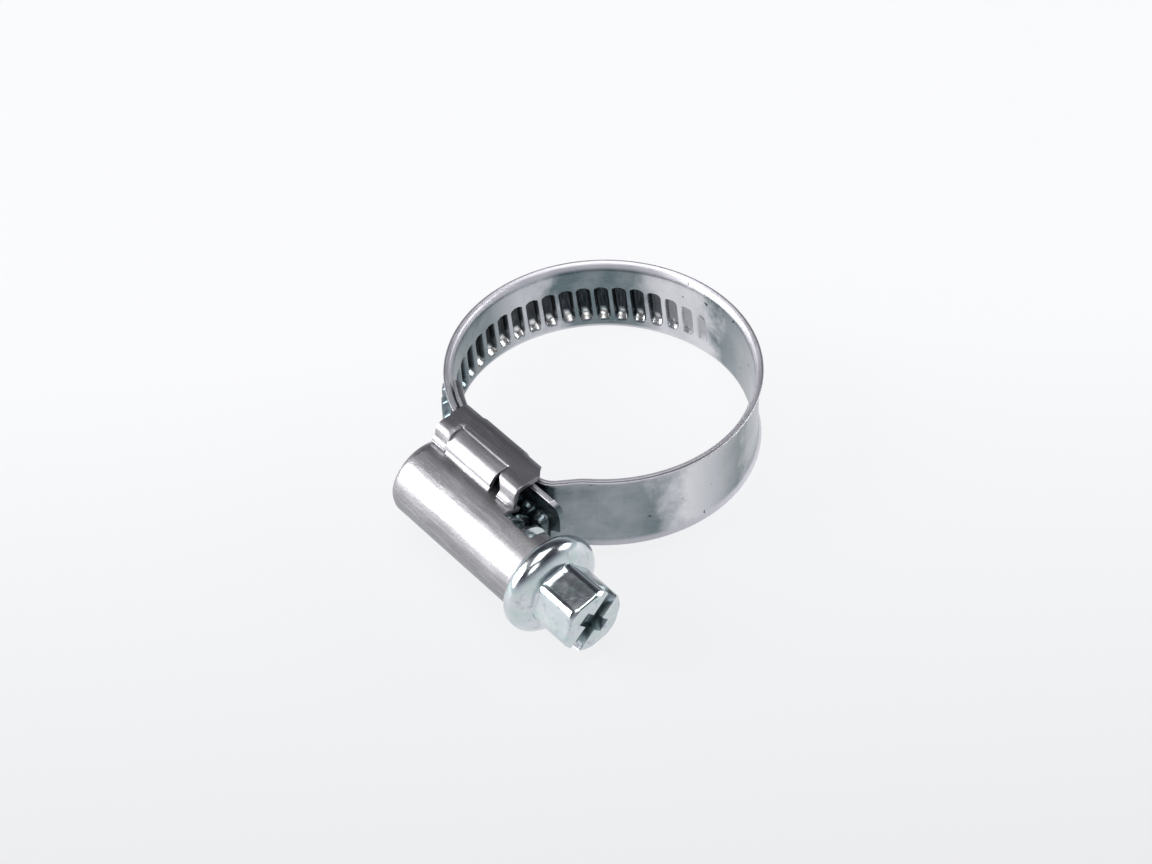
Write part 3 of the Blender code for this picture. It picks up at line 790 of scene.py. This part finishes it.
def build_worm():
    """Core and right-hand trapezoidal thread, as two closed shells in one mesh."""
    fade_steps, buried = 14, 2.6
    count = int(THREAD_STEPS * THREAD_TURNS)
    half = [(-THREAD_ROOT_HALF, buried), (-THREAD_ROOT_HALF, WORM_ROOT), (-THREAD_CREST_HALF, WORM_CREST)]
    flank = half + [(-dx, radius) for dx, radius in reversed(half)]
    points, faces = [], []
    for i in range(count + 1):
        angle = 2 * math.pi * (THREAD_START / PITCH + i / THREAD_STEPS)
        fade = min(1.0, i / fade_steps, (count - i) / fade_steps)
        for dx, radius in flank:
            r = min(radius, WORM_NECK + (WORM_CREST - WORM_NECK) * fade)
            x = PITCH * angle / (2 * math.pi) + dx + TOOTH_SHIFT
            points.append((x, SCREW_Y + r * math.cos(angle), SCREW_Z + r * math.sin(angle)))
    size = len(flank)
    for i in range(count):
        for j in range(size):
            k = (j + 1) % size
            faces.append((i * size + j, i * size + k, (i + 1) * size + k, (i + 1) * size + j))
    faces.append(tuple(range(size)))
    faces.append(tuple(count * size + j for j in reversed(range(size))))
    core = [(CORE_X, 0.0), (CORE_X, 2.2), (CORE_X + 0.12, 2.4), (CORE_X + 0.5, WORM_ROOT - 0.08),
            (CORE_X + 0.7, WORM_ROOT), (11.8, WORM_ROOT), (12.2, WORM_NECK), (COLLAR_X + 0.2, WORM_NECK),
            (COLLAR_X + 0.2, 0.0)]
    core_points, core_faces = rings_of([(x, lambda a, r=r: r) for x, r in core], CORE_STEPS,
                                       base=len(points))
    worm = grid_object("screw_worm", points + core_points, faces + core_faces)
    clean(worm, WELD)
    return worm


def mark_slot_shade(head):
    """Attribute slot, for painted shade, grows from 0 at the end face to 1 deep in the slot and its
    cross.
    """
    hex_start = COLLAR_X + 3.2
    depths = []
    for vertex in head.data.vertices:
        place = local(vertex.co)
        off_axis = (place - Vector((place.x, SCREW_Y, SCREW_Z))).length
        inside = off_axis < ACROSS_FLATS / 2 - 0.05 and place.x > hex_start
        depths.append(float(smooth_step(0.1, 0.9, HEAD_X - place.x)) if inside else 0.0)
    head.data.attributes.new("slot", "FLOAT", "POINT").data.foreach_set("value", depths)


def build_screw(material):
    head = build_head()
    slot_turn = HEAD_ANGLE + math.pi / 6
    cut(head, slot_cutter("slot", slot_turn, 10.0, SLOT_WIDTH, SLOT_DEPTH))
    cut(head, slot_cutter("cross", slot_turn + math.pi / 2, CROSS_LENGTH, CROSS_WIDTH, CROSS_DEPTH))
    bevel(head, 0.05, 50)
    apply_modifiers(head)
    mark_slot_shade(head)
    shade(head, 38)
    paint(head, material)
    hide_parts("worm_screw")
    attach(head, "worm_screw")
    worm = build_worm()
    shade(worm, 30)
    paint(worm, material)
    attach(worm, "worm_screw")


# ---------------------------------------------------------------- housing (mm)
WALL = 0.5                   # sheet thickness
FOLD = 0.85                  # radius of the folds
WALL_Y, INNER_Y = -17.75, -13.65
TOP_Z = HOUSING_HIGH.z - WALL / 2
FLOOR_Z = HOUSING_LOW.z + WALL / 2
TUBE = (HOUSING_HIGH.z - HOUSING_LOW.z) / 2 - 1.03 - WALL / 2
BOX_RIGHT = 7.9              # right end of the box round the band
CUT_X = 12.0                 # right end of the gap between box and collar
PANEL = (-2.2, 4.9)          # pressed-in panel of the wall, along the screw
SADDLE = (-1.74, 4.49)       # plate that bears on the hose, along the screw
LIP = (-3.2, 6.4)            # the inner wall above and below that plate, along the screw
LIP_Z = 3.9                  # the plate's half height
FOOT_RADIUS, FOOT_STEPS = 0.95, 5
FOOT = (WALL_Y - FOOT_RADIUS, 4.13)         # centre of the curl at the wall's foot
PANEL_FOOT_RADIUS = 0.36
PANEL_FOOT = (-18.58, 3.3)                  # the same for the pressed-in panel
PANEL_MIDDLE = (-16.05, 2.95)               # centre of the panel's oval
PANEL_REACH, PANEL_RISE = 2.2, 1.82         # half sizes of that oval
SADDLE_PRESS = 0.14          # the plate stands this far towards the ring
END_CURL = 0.16              # the tube's left rim turns in by this
END_BOW, WALL_BOW = 0.25, 0.2               # how far the left end is cut back, and the wall further
PANEL_PULL, FLAP_PULL, TOP_CUT = 0.3, 0.8, 1.1   # slants of the panel's end, the flap and the top
# The wall's foot as it hangs free at the box's right end, one point for each of its first rows.
HANG = [(-18.1, 2.3), (-18.02, 2.6), (-17.92, 2.9), (-17.84, 3.2), (-17.77, 3.5), (-17.75, 3.8)]


def arc_points(centre, radius, start, end, steps):
    return [(centre[0] + radius * math.cos(start + (end - start) * k / steps),
             centre[1] + radius * math.sin(start + (end - start) * k / steps)) for k in range(steps + 1)]


def line_points(first, second, steps):
    return [tuple(Vector(first).lerp(Vector(second), k / steps)) for k in range(steps + 1)]


def wall_rows():
    """The wall's rows as (zone, plain point, point of the pressed-in panel) in (Y, Z)."""
    quarter = math.pi / 2
    plain = arc_points(FOOT, FOOT_RADIUS, -quarter * 0.85, 0, FOOT_STEPS)
    plain += line_points((WALL_Y, 4.135), (WALL_Y, TOP_Z - FOLD), 3)
    plain += arc_points((WALL_Y + FOLD, TOP_Z - FOLD), FOLD, 2 * quarter, quarter, 7)[1:]
    plain += [(WALL_Y + FOLD + share * 0.16, TOP_Z) for share in (1, 2, 3)]
    plain += [(-16.12, TOP_Z), (-16.06, TOP_Z), (-15.98, TOP_Z)]
    pressed = arc_points(PANEL_FOOT, PANEL_FOOT_RADIUS, -quarter * 0.85, -0.1, FOOT_STEPS)
    pressed += [(PANEL_MIDDLE[0] - PANEL_REACH * math.cos(a), PANEL_MIDDLE[1] + PANEL_RISE * math.sin(a))
                for a in np.linspace(0.17, quarter, 12)]
    rise = [(-16.02, TOP_Z - 0.2), (-16.0, TOP_Z - 0.1), (-15.97, TOP_Z)]
    spare = len(plain) - len(pressed) - len(rise)
    pressed += [(PANEL_MIDDLE[0] + 0.01 * k, 4.77) for k in range(1, spare + 1)] + rise
    return [("wall", a, b) for a, b in zip(plain, pressed)]


def housing_rows():
    """Middle line of the folded sheet, from the wall's foot over the box and round the tube."""
    quarter = math.pi / 2
    rows = wall_rows()

    def add(zone, points):
        rows.extend((zone, p, p) for p in points)
    add("top", line_points((-15.7, TOP_Z), (INNER_Y - FOLD, TOP_Z), 4))
    add("fold", arc_points((INNER_Y - FOLD, TOP_Z - FOLD), FOLD, quarter, 0, 8)[1:])
    add("lip", [(INNER_Y, LIP_Z + 0.15), (INNER_Y, LIP_Z)])
    add("saddle", line_points((INNER_Y, LIP_Z), (INNER_Y, -LIP_Z), 10)[1:])
    add("lip", [(INNER_Y, -LIP_Z - 0.15), (INNER_Y, FLOOR_Z + FOLD)])
    add("fold", arc_points((INNER_Y - FOLD, FLOOR_Z + FOLD), FOLD, 0, -quarter, 8)[1:])
    add("floor", line_points((INNER_Y - FOLD - 0.5, FLOOR_Z), (SCREW_Y + 0.45, FLOOR_Z), 8))
    add("tube", arc_points((SCREW_Y, SCREW_Z), TUBE, 3 * quarter, math.radians(60), 70))
    return rows


def keep_cell(zone, x, y, z):
    """True where the sheet has material."""
    if zone in ("wall", "top"):
        return x < BOX_RIGHT
    if zone == "fold":
        return x < BOX_RIGHT and (LIP[0] < x < LIP[1] or abs(z) > 4.62)
    if zone == "lip":
        return LIP[0] < x < LIP[1]
    if zone == "saddle":
        return SADDLE[0] < x < SADDLE[1]
    if zone == "floor":
        return x < BOX_RIGHT or y < SCREW_Y + 0.5
    angle = math.degrees(math.atan2(z - SCREW_Z, y - SCREW_Y)) % 360
    if angle > 91 or x < BOX_RIGHT:
        return True
    return x > CUT_X and angle > 66


def stepped(x, span):
    """1 inside a span and 0 outside it, with steep sides."""
    return float(smooth_step(span[0] - 0.09, span[0] + 0.03, x)
                 * (1 - smooth_step(span[1] - 0.03, span[1] + 0.09, x)))


def sheet_point(x, zone, plain, pressed, hanging):
    """Where a point of the folded sheet lies, after the presses, the curls and the slanted cuts."""
    left = HOUSING_LOW.x
    if hanging is not None:
        share = 0.5 * float(smooth_step(7.35, BOX_RIGHT, x))
        plain = tuple(a + (b - a) * share for a, b in zip(plain, hanging))
    press = stepped(x, PANEL)
    y = plain[0] + (pressed[0] - plain[0]) * press
    z = plain[1] + (pressed[1] - plain[1]) * press
    if zone in ("fold", "lip", "saddle") and y > INNER_Y - 0.6:
        y += SADDLE_PRESS * stepped(x, SADDLE)
    if zone == "tube":
        curl = END_CURL * float(1 - smooth_step(left, left + 0.5, x))
        away = Vector((y - SCREW_Y, z - SCREW_Z))
        y, z = Vector((SCREW_Y, SCREW_Z)) + away * (1 - curl / away.length)
    shift = END_BOW * float(1 - smooth_step(left, left + 1.2, x))
    if zone == "wall":
        low = 1 - float(smooth_step(4.3, 5.15, z))
        shift += WALL_BOW * float(1 - smooth_step(left, left + 1.4, x))
        if x < PANEL[1] + 0.05:
            shift -= PANEL_PULL * low * float(smooth_step(3.2, PANEL[1] - 0.1, x))
        else:
            shift += FLAP_PULL * low * float(1 - smooth_step(PANEL[1], 7.5, x))
    if zone in ("top", "fold"):
        shift -= TOP_CUT * float(smooth_step(6.2, BOX_RIGHT, x) * smooth_step(-14.9, -13.7, y))
    return (x + shift, y, z)


def housing_columns():
    """Places along the screw at which the sheet's section is laid out, closer together at its steps."""
    left, right = HOUSING_LOW.x, HOUSING_HIGH.x
    return [left, left + 0.1, left + 0.25, left + 0.5, -3.6, LIP[0], -2.7,
            PANEL[0] - 0.08, PANEL[0] + 0.02, PANEL[0] + 0.14,
            SADDLE[0] - 0.1, SADDLE[0], SADDLE[0] + 0.1,
            -1.1, -0.3, 0.6, 1.5, 2.4, 3.2, 3.9, 4.3,
            SADDLE[1] - 0.1, SADDLE[1], SADDLE[1] + 0.1,
            PANEL[1] - 0.14, PANEL[1] - 0.02, PANEL[1] + 0.08, 5.3, 5.9, LIP[1], 6.9, 7.4, 7.7, BOX_RIGHT,
            8.4, 9.2, 10.0, 10.8, 11.5, CUT_X, 12.3, 12.8, right - 0.15, right]


def build_housing(material):
    table = housing_rows()
    columns = housing_columns()
    rows = len(table)
    points = [sheet_point(x, *row, HANG[j] if j < len(HANG) else None)
              for x in columns for j, row in enumerate(table)]
    faces = []
    for i, (left, right) in enumerate(zip(columns, columns[1:])):
        x = (left + right) / 2
        panel_end = abs(x - PANEL[1] - 0.03) < 0.06
        for j in range(rows - 1):
            zone, a, b = table[j + 1][0], table[j][1], table[j + 1][1]
            if zone == "tube" and table[j][0] == "wall":
                continue
            if zone == "wall" and panel_end and a[0] < -16.7:
                continue
            if keep_cell(zone, x, (a[0] + b[0]) / 2, (a[1] + b[1]) / 2):
                first, after = i * rows + j, (i + 1) * rows + j
                faces.append((first, first + 1, after + 1, after))
    housing = grid_object("housing_shell", points, faces)
    clean(housing, WELD / 2)
    solid = housing.modifiers.new("Sheet", "SOLIDIFY")
    solid.thickness = WALL * MM
    solid.offset = 0.0
    bevel(housing, 0.07, 60)
    apply_modifiers(housing)
    shade(housing, 42)
    paint(housing, material)
    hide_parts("housing")
    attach(housing, "housing")


# ---------------------------------------------------------------- stage
FLOOR_FALL = (0.774, -0.633)   # the floor's glow falls this way
FLOOR_GLOW = (0.76, 0.905)     # the least and the most of it

CAMERA_AIM = (1.72, -5.12, 0.0)
CAMERA_AZIMUTH, CAMERA_ELEVATION, CAMERA_ROLL = 50.70, 45.50, -1.45
CAMERA_DISTANCE, CAMERA_LENS = 297.1, 93.75

# The tent's tones between the horizon at 0 and straight up at 1, and its tones at those two.
TENT = ((0.12, (0.70, 0.72, 0.76)), (0.36, (0.22, 0.23, 0.26)), (0.58, (0.045, 0.045, 0.06)),
        (0.8, (0.04, 0.04, 0.05)))
TENT_LOW, TENT_TOP = (0.75, 0.77, 0.80), (0.15, 0.15, 0.17)


def direction(azimuth, elevation):
    """Unit vector away from the clamp, from an azimuth and an elevation in degrees."""
    a, e = math.radians(azimuth), math.radians(elevation)
    return Vector((math.sin(a) * math.cos(e), -math.cos(a) * math.cos(e), math.sin(e)))


def build_floor():
    """An evenly glowing white table top that touches the collar and the ring's far lower rim."""
    near = world((0, SCREW_Y, SCREW_Z - COLLAR_RADIUS))
    far = world((0, BAND_RADIUS, -HALF_WIDTH))
    tilt = math.atan2(far.z - near.z, far.y - near.y)
    middle = (near + far) / 2 + Vector((0, 0, -0.00005))
    bpy.ops.mesh.primitive_plane_add(size=4.0, location=middle, rotation=(tilt, 0, 0))
    floor = bpy.context.active_object
    floor.name = "floor"
    material, tree, shader = tree_of("floor_white")
    shader.inputs["Base Color"].default_value = (0.05, 0.05, 0.051, 1)
    shader.inputs["Emission Color"].default_value = (0.98, 0.985, 1.0, 1)
    split = tree.nodes.new("ShaderNodeSeparateXYZ")
    link(tree, tree.nodes.new("ShaderNodeTexCoord").outputs["Object"], split.inputs["Vector"])
    down = maths(tree, "ADD", maths(tree, "MULTIPLY", split.outputs["X"], FLOOR_FALL[0]),
                 maths(tree, "MULTIPLY", split.outputs["Y"], FLOOR_FALL[1]))
    link(tree, remap(tree, down, 0.065, -0.015, *FLOOR_GLOW), shader.inputs["Emission Strength"])
    shader.inputs["Roughness"].default_value = 0.5
    shader.inputs["Specular IOR Level"].default_value = 0.03
    floor.data.materials.append(material)


def softbox(name, azimuth, elevation, distance, size, power):
    """An area light that looks at the clamp from a direction in degrees, at a distance in metres."""
    back = direction(azimuth, elevation)
    light = bpy.data.lights.new(name, "AREA")
    light.shape = "RECTANGLE"
    light.size, light.size_y = size
    light.energy = power
    obj = make_object(name, light)
    obj.location = RING_CENTRE + back * distance
    obj.rotation_mode = "QUATERNION"
    obj.rotation_quaternion = (-back).to_track_quat("-Z", "Y")


def build_light():
    """A tent that is bright near the horizon and dim above, and four soft boxes."""
    scene = bpy.context.scene
    scene.world = bpy.data.worlds.new("studio")
    scene.world.use_nodes = True
    tree = scene.world.node_tree
    height = tree.nodes.new("ShaderNodeSeparateXYZ")
    link(tree, tree.nodes.new("ShaderNodeTexCoord").outputs["Generated"], height.inputs["Vector"])
    ramp = tree.nodes.new("ShaderNodeValToRGB")
    link(tree, height.outputs["Z"], ramp.inputs["Fac"])
    stops = ramp.color_ramp.elements
    stops[0].color, stops[1].color = (*TENT_LOW, 1), (*TENT_TOP, 1)
    for share, colour in TENT:
        stops.new(share).color = (*colour, 1)
    link(tree, ramp.outputs["Color"], tree.nodes["Background"].inputs["Color"])
    softbox("top_box", 40, 88, 0.75, (0.55, 0.55), 3.6)
    softbox("key_box", -38, 24, 0.8, (0.5, 0.5), 8.2)
    softbox("fill_box", 60, 42, 0.8, (0.3, 0.2), 0.8)
    softbox("back_box", 152, 27, 0.8, (0.34, 0.22), 2.4)


def build_camera():
    aim = world(CAMERA_AIM)
    data = bpy.data.cameras.new("camera")
    data.lens = CAMERA_LENS
    data.clip_start = 0.01
    camera = make_object("camera", data)
    camera.location = aim + direction(CAMERA_AZIMUTH, CAMERA_ELEVATION) * CAMERA_DISTANCE * MM
    camera.rotation_mode = "QUATERNION"
    look = (aim - camera.location).to_track_quat("-Z", "Y")
    camera.rotation_quaternion = look @ Quaternion((0, 0, 1), math.radians(CAMERA_ROLL))
    bpy.context.scene.camera = camera


build_camera()
build_light()
build_floor()
build_housing(housing_metal())
build_screw(screw_metal())
build_band(band_metal())
bpy.context.scene.view_settings.view_transform = "Standard"
